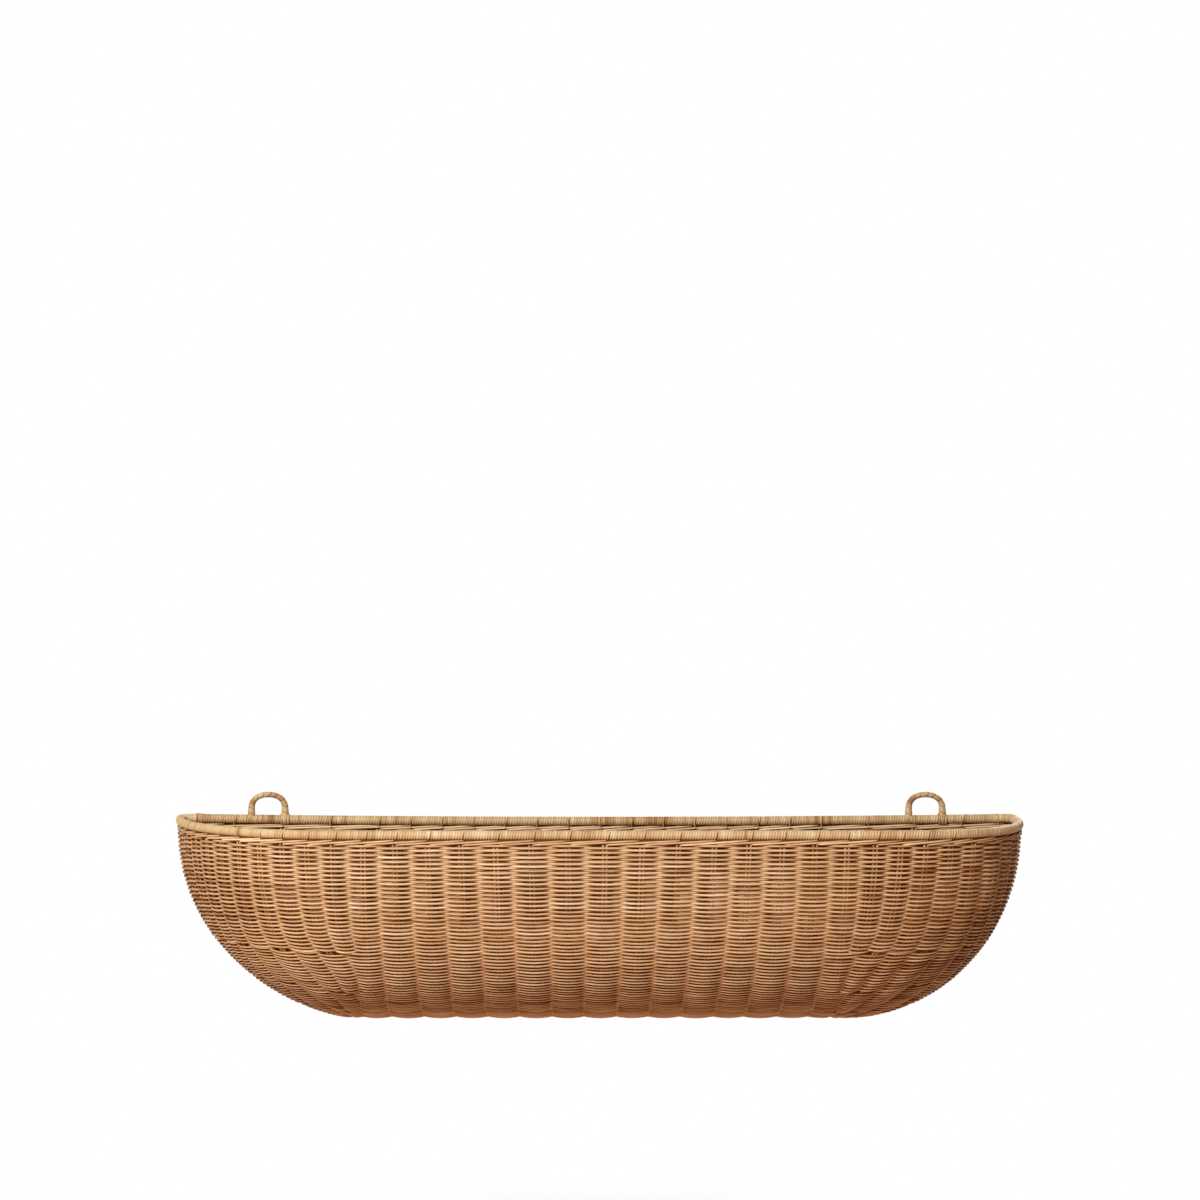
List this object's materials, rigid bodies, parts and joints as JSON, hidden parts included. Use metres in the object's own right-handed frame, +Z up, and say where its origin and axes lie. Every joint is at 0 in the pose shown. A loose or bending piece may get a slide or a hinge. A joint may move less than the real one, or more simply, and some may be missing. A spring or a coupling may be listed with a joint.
{
  "type": "wall basket",
  "caption": "Long half-bowl wall basket woven in rattan, with a flat back, a cane-bound rim and two small hanging loops.",
  "frame": {"origin": "on the flat back's rear face, where it lies against the wall: midway along its length, and halfway between the rim's centre line and the woven bottom", "axes": "+Y into the wall, so the basket reaches out towards -Y; +Z up; +X along the basket, to the right of someone who faces it"},
  "size_m": [0.6996, 0.16, 0.1883],
  "materials": {
    "stake": "matte brown rattan core",
    "weft": "satin honey-brown rattan strands",
    "border": "satin brown rattan",
    "cane_wrap": "satin pale cane strip"
  },
  "bodies": {
    "root": {"middle_stake_01": "stake", "middle_stake_02": "stake", "middle_stake_03": "stake", "middle_stake_04": "stake", "middle_stake_05": "stake", "middle_stake_06": "stake", "middle_stake_07": "stake", "middle_stake_08": "stake", "middle_stake_09": "stake", "middle_stake_10": "stake", "middle_stake_11": "stake", "middle_stake_12": "stake", "middle_stake_13": "stake", "middle_stake_14": "stake", "middle_stake_15": "stake", "left_fan_stake_01": "stake", "left_fan_stake_02": "stake", "left_fan_stake_03": "stake", "left_fan_stake_04": "stake", "left_fan_stake_05": "stake", "left_fan_stake_06": "stake", "left_fan_stake_07": "stake", "left_fan_stake_08": "stake", "left_fan_stake_09": "stake", "left_fan_stake_10": "stake", "left_fan_stake_11": "stake", "left_fan_stake_12": "stake", "left_back_fan_stake_1": "stake", "left_back_fan_stake_2": "stake", "left_back_fan_stake_3": "stake", "left_back_fan_stake_4": "stake", "right_fan_stake_01": "stake", "right_fan_stake_02": "stake", "right_fan_stake_03": "stake", "right_fan_stake_04": "stake", "right_fan_stake_05": "stake", "right_fan_stake_06": "stake", "right_fan_stake_07": "stake", "right_fan_stake_08": "stake", "right_fan_stake_09": "stake", "right_fan_stake_10": "stake", "right_fan_stake_11": "stake", "right_fan_stake_12": "stake", "right_back_fan_stake_1": "stake", "right_back_fan_stake_2": "stake", "right_back_fan_stake_3": "stake", "right_back_fan_stake_4": "stake", "front_rim_rod": "stake", "back_rim_rod": "stake", "left_loop_rod": "stake", "right_loop_rod": "stake", "bowl_weave": "weft", "back_weave": "weft", "front_border": "border", "back_border": "border", "front_rim_wrap": "cane_wrap", "back_rim_wrap": "cane_wrap", "left_loop_wrap": "cane_wrap", "right_loop_wrap": "cane_wrap"}
  },
  "joints": []
}
